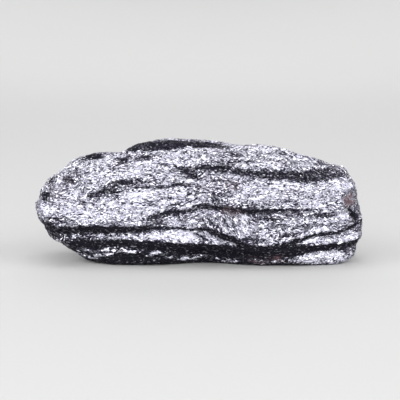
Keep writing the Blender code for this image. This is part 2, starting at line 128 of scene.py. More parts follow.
# Dark seams too thin for a ledge, as (points along it as (x, z), half its width, strength).
FRONT_SEAMS = {
    "shoulder_low": ([(-36.7, 24.1), (-34.4, 23.7), (-32.8, 23.8), (-31.5, 24.3)], 0.8, 0.5),
    "shoulder_middle": ([(-33.7, 25.2), (-30.8, 25.1), (-28.8, 25.5), (-25.2, 25.6)], 0.95, 0.6),
    "shoulder_high": ([(-30.7, 27.3), (-28.7, 28), (-24.5, 28.1), (-19.6, 29), (-17.4, 29.2)], 1.2, 0.62),
    "shoulder_seam": ([(-22, 27.2), (-20, 26.5), (-18, 27), (-10.8, 27), (-6.3, 28), (0.5, 27.9)], 0.7, 0.5),
    "crown_notch": ([(-4.7, 32.3), (-3.4, 30.9), (-2.1, 30.1), (-0.1, 30)], 0.7, 0.45),
    "middle_branch": ([(20.8, 17.9), (22.1, 16.7), (23.4, 16.3), (27.7, 16.3)], 0.5, 0.85),
    "belly_branch": ([(-2.7, 12.5), (-0.4, 11.5), (1.5, 10.2), (3.8, 9.2)], 0.4, 0.8),
    "fold_arc": ([(1.5, 18.5), (4.3, 15.5), (7.5, 12.8), (11, 11.4)], 0.35, 0.4),
    "skirt_join": ([(11, 7.7), (17, 7), (25, 7), (30, 8.1), (33, 8.9)], 0.6, 0.95),
    "left_end_line": ([(-51.3, 16.3), (-48.9, 16.1), (-42.8, 16.2)], 0.45, 0.7),
    "right_end_arc": ([(49.2, 19), (50.8, 17.2), (52.2, 15.4), (53, 13.8)], 1.1, 1),
}

# Thin bright streaks that cross the painted shade on the dark ground low on the front, written as the seams
# are.
FRONT_STREAKS = {
    "upper_left": ([(-34, 5.2), (-30.2, 5.6), (-25.2, 5.8), (-21.8, 5.3), (-18.5, 5)], 0.65, 1.05),
    "left_run": ([(-41.5, 5), (-38.5, 4.8), (-35.5, 4.7), (-33.5, 4.9)], 0.7, 0.9),
    "lower_left": ([(-42, 3.9), (-38.6, 2.9), (-35.1, 2.6), (-31.9, 3.8), (-28, 4.3)], 0.75, 1.15),
    "left_dash": ([(-17.8, 3.8), (-15.3, 4.6), (-12, 5.1)], 0.6, 1),
    "left_rim": ([(-50.5, 9.2), (-47.5, 8.4), (-44.4, 6.1), (-42, 4.3)], 0.7, 0.55),
    "middle_foot": ([(-11.7, 3.3), (-8.5, 3), (-4.8, 2.1), (-2.1, 2.2), (3, 2.5)], 0.8, 1),
    "right_foot": ([(5, 2.2), (8.2, 1.6), (10.8, 1.3), (14, 1.6)], 0.8, 0.9),
    "right_foot_end": ([(14, 1.6), (18, 1.7), (22, 1.8), (26, 1.8)], 0.7, 0.3),
    "right_toe": ([(23.5, 1.4), (27, 2), (31, 2.4), (36, 3.2)], 0.9, 0.65),
    "shelf": ([(-36, 10.2), (-30.4, 10.5), (-26.7, 10.6), (-20, 10.6)], 0.9, 1),
    "shelf_end": ([(-44, 9.5), (-40.7, 10.1), (-37.4, 10.3), (-33, 9.9)], 0.8, 0.5),
}
# How dark the ground below the skirt is painted, as shade where the stone turns under.
FOOT_PAINTED_SHADE = 0.97
FOOT_END = (28.0, 36.0)  # where along X the painted shade on the ground below the skirt gives way to bright flakes
SHELF_DULL_AND_SHADE = 0.55
SHELF_END = (-30.0, -20.0)  # where the shelf between belly and skirt, painted dark as dull ground and shade, gives way to them
SHELF_SOFT = 0.35  # how gradually shelf and foot begin and end, up and down

# Where the front's flakes are painted brighter (below 0) or darker as a whole, partly their own tone and
# partly painted light and shade, as (x, z, half its length, half its height, change of shade).
FRONT_TONES_AND_LIGHT = [
    (31, 25.5, 20, 5.5, -0.14), (-33, 18.8, 17, 4.6, -0.24), (-17.5, 24.3, 8, 2.6, -0.26),
    (-9, 11, 12, 1.8, -0.35), (-32, 33, 14, 4, -0.1), (24, 17.8, 20, 3, 0.18), (-1, 32.2, 10, 2.4, 0.22),
    (5.5, 24.2, 5, 2.4, 0.28), (41.8, 17.6, 4.5, 1, 0.35), (36, 17.6, 9, 1.4, 0.1), (4, 36, 9, 2.2, 0.1),
    (-17.5, 36.5, 5, 1.5, 0.3), (42.5, 3.8, 8.5, 2.6, -0.4), (49, 4.6, 4, 1.6, 0.3), (36, 13.6, 6, 1, 0.2),
    (40, 21, 4.5, 2, -0.25), (-26.5, 33, 4, 1.6, 0.3), (8, 34.6, 7, 1.2, 0.3), (-8.6, 17.8, 4, 1.7, 0.15),
    (-30.2, 14.8, 5, 1.2, 0.2), (-14, 14.9, 4.5, 1.2, 0.35), (-12.2, 34.2, 4.5, 2, -0.15),
    (48, 26.6, 4.5, 2, -0.35), (18.5, 27.4, 4.2, 1.7, -0.2), (15, 16.8, 3.5, 2, -0.35),
    (49.5, 16.9, 3, 2, -0.45), (-52, 18.5, 3, 3.5, -0.5), (-25, 11, 13, 1, -0.25),
    (36.5, 9.9, 5, 1.3, -0.6), (49.5, 9, 4, 1.6, -0.5), (29, 24, 9, 2.4, 0.14), (-37.5, 31.4, 4, 1.8, 0.15),
    (-44, 15.2, 5, 1.5, 0.25), (18, 21.2, 8, 1.3, 0.28), (-24.5, 19.4, 5, 1.6, 0.2),
    (27, 13.4, 9, 1.4, 0.15), (42.5, 32.9, 4.5, 1.3, 0.25), (42.5, 12.3, 4.5, 1.2, -0.3),
    (-26.5, 31.6, 4, 1, -0.1), (17.5, 9.8, 5, 1.5, 0.32), (8, 28.2, 6, 2.4, 0.1),
    (-16, 25.6, 6.5, 1.6, -0.15), (-43.5, 25.2, 5.5, 2, -0.25), (-21.5, 31.2, 4.5, 2.2, -0.25),
    (7, 20.8, 5, 1.8, 0.25), (4.1, 14.3, 4.5, 1.5, 0.25), (-22.5, 11.4, 3.5, 1.2, 0.25),
    (-40, 16.3, 4, 1.2, 0.25), (12.5, 36.8, 4, 1.2, 0.25), (-37.9, 34.1, 3.5, 1.5, 0.3),
    (-19, 20.2, 3.2, 2, -0.16), (-2.5, 10.4, 7, 1.3, -0.25), (29.5, 11.3, 4, 1.2, 0.4),
]  # fmt: skip

# Dark patches all round, partly dull ground and partly painted shade, as (place, half its length along X,
# half its depth, half its height, strength).
DULL_AND_SHADED_PATCHES = [
    ((46, -5, 31.2), 3.6, 5, 1.1, 0.5), ((-35.4, -1.6, 35.4), 4.4, 4, 1.6, 0.8),
    ((-25.2, -9.5, 35), 3.4, 4, 1.4, 0.6), ((-51, -7, 23.6), 1.9, 3.5, 1.4, 0.85),
    ((-51.2, -7, 21.6), 1.5, 3, 1.2, 0.5), ((-48.5, -6, 27.9), 1.8, 4, 1.2, 0.5),
    ((-43, -10.5, 28.5), 3.2, 4, 1.2, 0.4), ((-49.4, -11, 14.2), 2.8, 5, 1.2, 0.85),
    ((-13.5, -17.5, 17.2), 4, 3, 0.9, 0.6), ((-14.2, -17.2, 15.9), 3, 3, 0.7, 0.35),
    ((-37.2, -15.6, 21.9), 1.5, 3, 0.7, 0.4), ((-6.3, -18, 21.5), 1.6, 3, 0.5, 0.45),
    ((-1.1, -15, 30.3), 2.1, 3, 1.2, 0.65), ((11.2, -10.5, 37.6), 2.8, 3, 1, 0.4),
    ((13.5, -15, 35.1), 6.5, 3, 0.5, 0.3), ((28, 12, 31), 9, 4, 3, 0.55), ((-20, 17, 22), 9, 4, 1.6, 0.6),
    ((-4, 15, 31), 15, 5, 1.6, 0.5), ((24, 18, 16), 12, 4, 1.6, 0.5), ((-34, 13, 28), 9, 5, 1.4, 0.5),
    ((4, 18, 9), 15, 4, 1.4, 0.5), ((22, 2, 37), 10, 1.6, 3, 0.45), ((-22, 6, 37), 9, 1.4, 3, 0.45),
]  # fmt: skip

# The rear sheet's broken edge: dull and darkened with painted shade above this line, as rows of (x, z,
# strength, how far back along Y its streaks reach before the top's bright flakes begin).
EDGE, STRENGTH, BACK = 1, 2, 3
CREST_WALL = [
    (-25.6, 36.9, 0, -2), (-24.2, 37.1, 0.7, 1), (-22.5, 37.5, 0.76, 1.5), (-19.5, 37.7, 0.76, 1.5),
    (-16, 37.9, 0.76, -2), (-11.7, 38.3, 0.76, -2.5), (-7.4, 38.7, 0.76, 0.5), (-3.4, 38.9, 0.76, 1.5),
    (0.5, 38.8, 0.76, 2), (4.5, 38.6, 0.76, 3.5), (8.5, 38.3, 0.7, 2), (11, 38.1, 0.3, -2),
    (13.5, 37.8, 0, -5),
]  # fmt: skip
CREST_SOFT = 0.5  # how gradually it turns dull and shaded above the line, and how far the line wanders
CREST_FRONT = (-8.4, -7.4)  # where along Y it begins and where it is whole
CREST_FADE = 2.0  # how gradually the streaks give way, either side of where they reach
CREST_STREAKS = (3.0, (5.0, 0.9, 2.0))  # how far they wander, over waves of this size

# Red-brown patches, as (place, half its size, strength).
RUST_PATCHES = [
    ((49.6, -8.6, 21.7), 2.9, 1.1), ((10.9, -17.3, 27.7), 3, 0.42), ((1.8, -16.8, 27.6), 2.4, 0.34),
    ((10.3, -17, 19.1), 3.6, 0.45), ((26, -13.8, 2.6), 2.6, 0.5), ((19.5, -12.5, 1.2), 4, 0.35),
    ((-43, -10.5, 28.5), 5, 0.32), ((-20, 17, 12), 4, 0.5), ((30, 6, 33), 4, 0.4),
    ((14, 17, 24), 3.5, 0.45),
]  # fmt: skip
RUST_SHADE = 0.35  # how much a stain darkens its ground
RUST_STRETCH = 1.5  # how much longer and deeper than high a stain is
RUST_RAGGED = 0.8  # how much the stains vary, over waves of the next size
RUST_WAVES = (1.6, 1.2, 0.8)

# The relief of the skin. Striae, as (size along X, along Y and across the sheets, height, noise seed):
STRIAE = [(11.0, 2.6, 1.7, 0.16, 11), (6.5, 1.5, 0.8, 0.12, 14), (3.4, 0.9, 0.4, 0.06, 17)]
SHEET_EDGE_SPACING = 2.1
SHEET_EDGE_HEIGHT = 0.22
SHEET_EDGE_SHARE = 0.22  # how much of its spacing a sheet takes to drop to the next one
SHEET_WAVER = (1.6, (17.0, 8.0, 8.0))  # how far the edges waver, over waves of this size
SHEET_PATCHES = (9.0, 4.0, 4.0)  # the size of the patches where the edges show
SHEET_PATCH_RIM = (-0.2, 0.4)  # the noise where they start and where they are whole
PITS = ((2.2, 1.4, 0.9), (0.32, 0.6), 0.3)  # their size, the noise they start and end at, and their depth
LIP_STAND = 0.32  # how far a ledge's lip stands over its wall, past what the solid has
LIP_FADE = 2.2  # how far up a lip fades
LIP_SHARPNESS = 0.12
LEAST_DROP = 0.5  # how far down a set-back wall fades at least
LIP_CHIPS = (0.3, (1.6, 1.6, 6.0))  # how far the lip wanders up and down, over waves of this size
SEAM_DEPTH = 0.35
GRAIN_JITTER = 0.05
FLAT_CLEARANCE = 1.2  # how far from the resting flat the relief has died out
FRONT_BLEND = 0.35  # how far past the rim the front's pattern still shows

# The edges of the painted shade and dullness.
WALL_LIP_SOFT = 0.35  # how gradually a wall's dullness and painted shade begin under its lip, and end at its foot
WALL_FOOT_SOFT = 0.8
SHADE_WAVES = (2.0, 1.2, 0.9)  # the size of the waves in the edges
PATCH_WANDER = (1.4, 1.6, 0.4)  # how far a patch's edge wanders on them along X, Y and Z
PATCH_RIM = (0.3, 1.3)  # where a patch is still whole and where it ends, as a share of its half size
TONE_RIM = (0.3, 1.2)  # the same for a tone
LINE_END = 0.05  # how far a line still shows at its very ends
STREAK_LIFT = 0.8  # how much brighter than plain ground a streak is
STREAK_WAVES = (1.5, 1.0, 0.7)  # the size of the gaps that break a streak up
STREAK_GAPS = (-0.4, 0.1)
OVERHANG_SHADE = (0.22, 0.62)  # how far down a wall of the back, top or ends faces where it is painted dark: painted shade, in part for a dull broken wall
OVERHANG_WANDER = 0.5
UNDERSIDE_SHADE = (0.75, 0.95)  # the same for the underside, which is painted dark as shade

# Where in the noise each kind of waves is read.
SEEDS = {"waver": 2, "shade": 5, "sheets": 6, "rust": 9, "pits": 14, "streaks": 17, "chips": 21, "crest": 27}


def smooth_step(low, high, value):
    """0 below low, 1 above high, and smooth between."""
    t = np.clip((value - low) / (high - low), 0, 1)
    return t * t * (3 - 2 * t)


def past(value, softness):
    """0 where the value is below 0 and 1 where it is above, with an edge this soft."""
    return smooth_step(-softness, softness, value)


def along(x, rows, column):
    """A column of the rows as a smooth function of x, held at its end values past the ends."""
    rows = np.array(rows, float)
    places = rows[:, 0]
    values = rows[:, column]
    slopes = np.gradient(values, places)
    x = np.clip(x, places[0], places[-1])
    span = np.clip(np.searchsorted(places, x, side="right") - 1, 0, len(places) - 2)
    width = places[span + 1] - places[span]
    t = (x - places[span]) / width
    level = values[span] * (1 + 2 * t) * (1 - t) ** 2 + values[span + 1] * t**2 * (3 - 2 * t)
    lean = slopes[span] * t * (1 - t) ** 2 + slopes[span + 1] * t**2 * (t - 1)
    return level + width * lean


def wavy(points, size, seed):
    """Smooth noise of about -1 to 1 at each point, with waves of the given size along each axis."""
    return np.array([noise.noise(place) for place in (points / np.array(size) + seed).tolist()])


def unit(vectors):
    """The vectors, each made one long."""
    return vectors / np.maximum(np.linalg.norm(vectors, axis=-1, keepdims=True), LEAST_LENGTH)


def dot(first, second):
    """The dot products of two arrays' rows, kept as a column."""
    return (first * second).sum(axis=1, keepdims=True)


# The surface of the stone, as arrays.


def spine_rays(stations, spokes):
    """Where each ray starts and which way it goes, as arrays of stations by spokes by 3."""
    reach = 2 * CAP_TURN + 2 * SPINE_HALF
    travel = (np.arange(stations) + 1) * reach / (stations + 1) - reach / 2
    start = np.clip(travel, -SPINE_HALF, SPINE_HALF)
    lean = ((travel - start) / CAP_TURN * math.pi / 2)[:, None]
    turn = (np.arange(spokes) / spokes + FIRST_SPOKE) * 2 * math.pi
    starts = np.zeros((stations, spokes, 3))
    starts[:, :, 0] = start[:, None]
    starts[:, :, 2] = SPINE_HEIGHT
    ways = np.empty(starts.shape)
    ways[:, :, 0] = np.sin(lean)
    ways[:, :, 1] = np.cos(lean) * np.cos(turn)
    ways[:, :, 2] = np.cos(lean) * np.sin(turn)
    return starts, ways


def solid_tree(name):
    """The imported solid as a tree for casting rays, in millimetres."""
    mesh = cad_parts[name].data
    corners = [vertex.co / MM for vertex in mesh.vertices]
    return BVHTree.FromPolygons(corners, [tuple(face.vertices) for face in mesh.polygons])


def reach_of(tree, starts, ways):
    """How far each ray goes before it leaves the solid."""
    rays = zip(starts.reshape(-1, 3), ways.reshape(-1, 3))
    reach = [tree.ray_cast(Vector(start), Vector(way))[3] for start, way in rays]
    return np.array(reach, float).reshape(starts.shape[:2])


def blurred(field, width, axis):
    """The field averaged along one axis with a bell curve. Axis 1 closes on itself."""
    half = max(1, math.ceil(BLUR_REACH * width))
    offsets = np.arange(-half, half + 1)
    weights = np.exp(-0.5 * (offsets / width) ** 2)
    total = np.zeros(field.shape)
    for offset, weight in zip(offsets, weights / weights.sum()):
        if axis:
            total += weight * np.roll(field, offset, axis=1)
        else:
            total += weight * field[np.clip(np.arange(len(field)) + offset, 0, len(field) - 1)]
    return total


def grid_normals(points):
    """The outward normal at each point of the grid."""
    lengthwise = np.gradient(points, axis=0)
    around = np.roll(points, -1, axis=1) - np.roll(points, 1, axis=1)
    return unit(np.cross(around, lengthwise))


def sheet_level(x, z):
    """Where each point lies in the pile of sheets: a height, moved to be the same all along each line."""
    lines = [np.full(len(x), NOMINAL_LEVELS[0])]
    for rows in FRONT_LEDGES.values():
        lines.append((along(x, rows, LIP) + along(x, rows, FOOT)) / 2)
    lines.append(np.full(len(x), NOMINAL_LEVELS[-1]))
    level = lines[0].copy()
    for low, high, below, above in zip(lines, lines[1:], NOMINAL_LEVELS, NOMINAL_LEVELS[1:]):
        level += (above - below) * np.clip((z - low) / (high - low), 0, 1)
    return level


def folded(x, z):
    """The places turned back round the fold, with how far each one was turned."""
    across = x - FOLD_PLACE[0]
    up = z - FOLD_PLACE[1]
    away = np.hypot(across / FOLD_REACH[0], up / FOLD_REACH[1])
    turn = FOLD_TURN * (1 - smooth_step(*FOLD_RIM, away))
    back_x = across * np.cos(turn) + up * np.sin(turn)
    back_z = up * np.cos(turn) - across * np.sin(turn)
    return back_x + FOLD_PLACE[0], back_z + FOLD_PLACE[1], turn


def flow_places(points, front):
    """Each point moved so that the sheets lie level: X runs along the grain and Z across the sheets."""
    x, y, z = points.T
    back_x, back_z, _ = folded(x, z)
    level = sheet_level(back_x, back_z)
    return np.stack([x + front * (back_x - x), y, z + front * (level - z)], axis=1)


def flow_ways(points, normals, front):
    """The way the grain runs at each point, along the surface."""
    x, _, z = points.T
    back_x, back_z, turn = folded(x, z)
    rise = sheet_level(back_x + LEVEL_STEP, back_z) - sheet_level(back_x - LEVEL_STEP, back_z)
    run = sheet_level(back_x, back_z + LEVEL_STEP) - sheet_level(back_x, back_z - LEVEL_STEP)
    slope = front * (turn - np.arctan2(rise, np.maximum(run, LEAST_RUN)))
    ways = np.stack([np.cos(slope), np.zeros(len(x)), np.sin(slope)], axis=1)
    ways[np.abs(normals[:, 0]) > END_FACING] = (0.0, 1.0, 0.0)
    return unit(ways - normals * dot(ways, normals))


def line_share(x, z, points, half_width):
    """1 on a line through the points and 0 away from it, thinning out towards its ends."""
    points = np.array(points, float)
    nearest = np.full(len(x), np.inf)
    place = np.zeros(len(x))
    lengths = np.linalg.norm(np.diff(points, axis=0), axis=1)
    done = 0.0
    for (x0, z0), (x1, z1), length in zip(points, points[1:], lengths):
        share = np.clip(((x - x0) * (x1 - x0) + (z - z0) * (z1 - z0)) / length**2, 0, 1)
        distance = np.hypot(x - x0 - share * (x1 - x0), z - z0 - share * (z1 - z0))
        place = np.where(distance < nearest, (done + share * length) / lengths.sum(), place)
        nearest = np.minimum(nearest, distance)
        done += length
    taper = np.sqrt(np.clip(4 * place * (1 - place), LINE_END, 1))
    return np.exp(-((nearest / (half_width * taper)) ** 2)) * np.sqrt(taper)


def wall_share(x, z, rows, chips):
    """How far a point lies on a ledge's dark wall, 0 to 1: sharp at its lip and ragged at its foot."""
    under = past(along(x, rows, LIP) + chips - z, WALL_LIP_SOFT)
    over = past(z - along(x, rows, FOOT) + chips, WALL_FOOT_SOFT)
    return np.clip(along(x, rows, SHOWN), 0, 1) * under * over


def patch_share(points, place, half_sizes):
    """1 in the middle of a patch, and 0 past its edge."""
    away = np.linalg.norm((points - place) / half_sizes, axis=1)
    return 1 - smooth_step(*PATCH_RIM, away)


def front_dull_and_shade(x, z, chips):
    """How dark the front's ledges, seams, shelf and foot are painted, from 0 to 1: dull broken ground and
    dark seams, with painted shade on the walls, shelf and foot.
    """
    share = np.zeros(len(x))
    for name, rows in FRONT_LEDGES.items():
        share = np.maximum(share, LEDGE_DULL_AND_SHADE[name] * wall_share(x, z, rows, chips))
    for line, half_width, strength in FRONT_SEAMS.values():
        share = np.maximum(share, strength * line_share(x, z, line, half_width))
    below = past(along(x, FRONT_LEDGES["skirt"], FOOT) + chips - z, SHELF_SOFT)
    share = np.maximum(share, FOOT_PAINTED_SHADE * below * (1 - smooth_step(*FOOT_END, x)))
    shelf = past(along(x, FRONT_LEDGES["belly"], FOOT) - z, SHELF_SOFT)
    shelf *= past(z - along(x, FRONT_LEDGES["skirt"], LIP), SHELF_SOFT)
    return np.maximum(share, SHELF_DULL_AND_SHADE * shelf * (1 - smooth_step(*SHELF_END, x)))


def crest_dull_and_shade(points, wander):
    """How dull and shaded the rear sheet's broken edge is painted, from 0 to 1."""
    x, y, z = points.T
    reach, size = CREST_STREAKS
    back = y - along(x, CREST_WALL, BACK) + reach * wavy(points, size, SEEDS["crest"])
    above = past(z - along(x, CREST_WALL, EDGE) + CREST_SOFT * wander, CREST_SOFT)
    behind = smooth_step(*CREST_FRONT, y + wander) * (1 - past(back, CREST_FADE))
    return np.clip(along(x, CREST_WALL, STRENGTH), 0, 1) * above * behind


def shade_of(points, normals, front, chips, rust):
    """The ground's painted shade and dullness: 1 on dull broken walls and where shade is painted, 0 on plain
    flaky ground, below 0 where bright streaks or painted light make it brighter.
    """
    x, _, z = points.T
    wander = wavy(points, SHADE_WAVES, SEEDS["shade"])
    share = np.maximum(front * front_dull_and_shade(x, z, chips), crest_dull_and_shade(points, wander))
    wandered = points + np.array(PATCH_WANDER) * wander[:, None]
    for place, *half_sizes, strength in DULL_AND_SHADED_PATCHES:
        share = np.maximum(share, strength * patch_share(wandered, place, half_sizes))
    # Painted shade: walls of the back, top and ends that face down are darkened.
    broken = smooth_step(*OVERHANG_SHADE, OVERHANG_WANDER * wander - normals[:, 2])
    share = np.maximum(share, (1 - front) * broken)
    # Painted shade: the underside is darkened where it faces down.
    share = np.maximum(share, smooth_step(*UNDERSIDE_SHADE, -normals[:, 2]))
    share = np.maximum(share, RUST_SHADE * rust)
    for tone_x, tone_z, length, height, change in FRONT_TONES_AND_LIGHT:
        away = np.hypot((x - tone_x) / length, (z - tone_z) / height)
        share += front * change * (1 - share) * (1 - smooth_step(*TONE_RIM, away))
    whole = front * smooth_step(*STREAK_GAPS, wavy(points, STREAK_WAVES, SEEDS["streaks"]))
    for line, half_width, strength in FRONT_STREAKS.values():
        share -= whole * strength * (share + STREAK_LIFT) * line_share(x, z, line, half_width)
    return np.clip(share, -1, 1)


def rust_of(points):
    """How red-brown the surface is, from 0 to 1."""
    ragged = 1 + RUST_RAGGED * wavy(points, RUST_WAVES, SEEDS["rust"])
    share = np.zeros(len(points))
    for place, size, strength in RUST_PATCHES:
        half_sizes = (RUST_STRETCH * size, RUST_STRETCH * size, size)
        share = np.maximum(share, strength * patch_share(points, place, half_sizes))
    return np.clip(share * ragged, 0, 1)


def lip_relief(x, z, rows, chips):
    """A ledge's lip stands out, sharp below and fading upwards, over a wall set back as sharply."""
    lip = along(x, rows, LIP) + chips
    drop = np.maximum(lip - along(x, rows, FOOT), LEAST_DROP)
    over = past(z - lip, LIP_SHARPNESS)
    under = past(lip - z, LIP_SHARPNESS)
    above = over * np.exp(-np.maximum(z - lip, 0) / LIP_FADE)
    below = under * np.exp(-np.maximum(lip - z, 0) / drop)
    return LIP_STAND * np.clip(along(x, rows, SHOWN), 0, 1) * (above - below)


def skin_relief(points, flow, front, chips, rng):
    """How far each point stands off the smoothed solid."""
    x, _, z = points.T
    relief = GRAIN_JITTER * rng.normal(size=len(x))
    for *size, height, seed in STRIAE:
        relief += height * (1 - 2 * np.sqrt(np.abs(wavy(flow, size, seed))))
    waver, size = SHEET_WAVER
    phase = ((flow[:, 2] + waver * wavy(flow, size, SEEDS["waver"])) / SHEET_EDGE_SPACING) % 1.0
    swollen = np.minimum(phase / (1 - SHEET_EDGE_SHARE), (1 - phase) / SHEET_EDGE_SHARE) - 0.5
    shown = smooth_step(*SHEET_PATCH_RIM, wavy(flow, SHEET_PATCHES, SEEDS["sheets"]))
    relief += SHEET_EDGE_HEIGHT * swollen * shown
    pit_size, pit_rim, pit_depth = PITS
    relief -= pit_depth * smooth_step(*pit_rim, wavy(flow, pit_size, SEEDS["pits"]))
    for rows in FRONT_LEDGES.values():
        relief += front * lip_relief(x, z, rows, chips)
    for line, half_width, strength in FRONT_SEAMS.values():
        relief -= front * SEAM_DEPTH * strength * line_share(x, z, line, half_width)
    return relief


# Meshes.


def new_object(name, data):
    """An object in the scene with this mesh, lamp or camera."""
    thing = bpy.data.objects.new(name, data)
    bpy.context.scene.collection.objects.link(thing)
    return thing


def new_piece(name, mesh, material):
    """An object that rides on the stone's body, stands for its solid and wears its finish."""
    piece = new_object(name, mesh)
    mesh.materials.append(material)
    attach(piece, "root")
    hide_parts(STONE)
    return piece


def write_field(mesh, name, values):
    """Keep a number or a vector for each vertex of the mesh."""
    values = np.asarray(values, np.float32)
    kind, entry = ("FLOAT", "value") if values.ndim == 1 else ("FLOAT_VECTOR", "vector")
    mesh.attributes.new(name, kind, "POINT").data.foreach_set(entry, values.ravel())


def write_map(mesh, places):
    """Give each corner of the mesh's faces its place on the flat map."""
    layer = mesh.uv_layers.new(name="OFBake")
    layer.uv.foreach_set("vector", places.astype(np.float32).ravel())


def face_rows(corners):
    """Faces from each corner's rows of (vertex, u, v), with the corners' places on the map."""
    faces = np.stack([vertices for vertices, u, v in corners], axis=1)
    places = np.stack([np.stack(np.broadcast_arrays(u, v), axis=1) for vertices, u, v in corners], axis=1)
    return faces.tolist(), places.reshape(-1, 2)


def grid_faces(stations, spokes):
    """The skin's faces: quads between its rings and a fan round each tip, with their places on the map."""
    ring = np.arange(spokes)
    after = (ring + 1) % spokes
    v0 = ring / spokes
    v1 = (ring + 1) / spokes
    step = 1 / (stations + 1)
    rows = []
    for station in range(stations - 1):
        low = station * spokes
        high = low + spokes
        u0 = (station + 1) * step
        u1 = u0 + step
        rows.append(
            [(low + ring, u0, v0), (low + after, u0, v1), (high + after, u1, v1), (high + ring, u1, v0)]
        )
    last = (stations - 1) * spokes
    left_tip = np.full(spokes, last + spokes)
    right_tip = left_tip + 1
    middle = (v0 + v1) / 2
    rows.append([(left_tip, 0.0, middle), (after, step, v1), (ring, step, v0)])
    rows.append([(right_tip, 1.0, middle), (last + ring, 1 - step, v0), (last + after, 1 - step, v1)])
    faces, places = zip(*[face_rows(corners) for corners in rows])
    return sum(faces, []), np.concatenate(places)


def skin_mesh(looks):
    """The skin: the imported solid's own shape, rounded and then given its striae, sheet edges and lips."""
    grain_length = looks.grain_length / MM
    grain_width = looks.grain_width / MM
    stations = round((2 * CAP_TURN + 2 * SPINE_HALF) / grain_length)
    spokes = round(GIRTH / grain_width)
    starts, ways = spine_rays(stations, spokes)
    reach = reach_of(solid_tree(STONE), starts, ways)
    reach = blurred(reach, SMOOTHING / grain_length, axis=0)
    reach = blurred(reach, SMOOTHING / grain_width, axis=1)
    grid = starts + ways * reach[:, :, None]
    points = grid.reshape(-1, 3)
    normals = grid_normals(grid).reshape(-1, 3)
    front = past(-normals[:, 1], FRONT_BLEND)
    chip_height, chip_size = LIP_CHIPS
    chips = chip_height * wavy(points, chip_size, SEEDS["chips"])
    flow = flow_places(points, front)
    resting = smooth_step(0.0, FLAT_CLEARANCE, points[:, 2])
    relief = resting * skin_relief(points, flow, front, chips, np.random.default_rng(looks.seed))
    moved = points + normals * relief[:, None]
    moved[:, 2] = np.maximum(moved[:, 2], 0)
    tips = np.array([ring.mean(axis=0) for ring in (moved[:spokes], moved[-spokes:])])
    faces, places = grid_faces(stations, spokes)
    mesh = bpy.data.meshes.new(SKIN)
    mesh.from_pydata((np.concatenate([moved, tips]) * MM).tolist(), [], faces)
    write_map(mesh, places)
    points = np.concatenate([points, tips])
    normals = np.concatenate([normals, [(-1.0, 0, 0), (1.0, 0, 0)]])
    flow = np.concatenate([flow, tips])
    front = np.append(front, (TIP_FRONT, TIP_FRONT))
    chips = np.append(chips, (0, 0))
    rust = rust_of(points)
    write_field(mesh, "flow", flow)
    write_field(mesh, "cell", flow)
    write_field(mesh, "grain", flow_ways(points, normals, front))
    write_field(mesh, "outward", normals)
    write_field(mesh, "shade", shade_of(points, normals, front, chips, rust))
    write_field(mesh, "rust", rust)
    mesh.validate()
    return mesh


# Loose flakes, as (name of the piece, which way its ground faces, how many). A piece leaves out the ground
# of those before it. None stands on the resting flat.
FLAKE_PIECES = [
    ("front_flakes", (0, -1, 0), 49500),
    ("back_flakes", (0, 1, 0), 49500),
    ("crest_flakes", (0, 0, 1), 39000),
    ("end_and_foot_flakes", None, 24000),
]
FACING = 0.55  # a piece covers the ground whose normal lies this near to its direction
FLAKE_SCATTER = 0.3  # radians that a flake turns out of the grain, in the surface
FLAKE_LEAN = (0.2, 0.3)  # radians that it leans along and across the grain
FLAKE_PROUD = (0.02, 0.12)  # how far its two ends stand over the skin, least and most
FLAKE_SUNK = (0.02, 0.16)  # and how far its two sides lie below it
FLAKE_SIZES = 0.35  # the spread of their sizes, as a share
FLAKE_SHAPES = (0.75, 1.25)  # how short and how long each corner's reach may be
DULL_AND_SHADED_GROUND_SHARE = 0.4  # how many flakes dull, shaded ground carries, next to bright ground
LOWEST_FLAKE = 0.7
CELL_SPREAD = 900.0  # how far apart the flakes' own cells of colour are chosen
# A flake's corners, as shares of its half length and half width, the faces between them, and each face's
# place in the flake's square of the map.
FLAKE_CORNERS = [(-1, 0), (1, 0), (0, -1), (0, 1)]
FLAKE_FACES = [(0, 2, 1), (1, 3, 0), (2, 3, 1), (3, 2, 0)]
FLAKE_MAP = [
    [(0.05, 0.05), (0.62, 0.05), (0.62, 0.95)],
    [(0.62, 0.95), (0.05, 0.95), (0.05, 0.05)],
    [(0.7, 0.05), (0.95, 0.05), (0.95, 0.95)],
    [(0.95, 0.95), (0.7, 0.95), (0.7, 0.05)],
]


def own_ground(outward, facing):
    """Which places belong to the flakes that face this way."""
    mine = np.full(len(outward), True)
    for _, way, _ in FLAKE_PIECES:
        towards = outward @ np.array(way, float) > FACING if way else mine
        if way == facing:
            break
        mine &= ~towards
    return mine & towards


def triangles_of(mesh):
    """The mesh's triangles as rows of three vertices."""
    mesh.calc_loop_triangles()
    corners = np.empty(len(mesh.loop_triangles) * 3, int)
    mesh.loop_triangles.foreach_get("vertices", corners)
    return corners.reshape(-1, 3)


def read_field(mesh, name):
    """The number or vector that each vertex of the mesh keeps."""
    layer = mesh.attributes[name]
    width, entry = (3, "vector") if layer.data_type == "FLOAT_VECTOR" else (1, "value")
    values = np.empty(len(mesh.vertices) * width)
    layer.data.foreach_get(entry, values)
    return values.reshape(-1, 3) if width == 3 else values


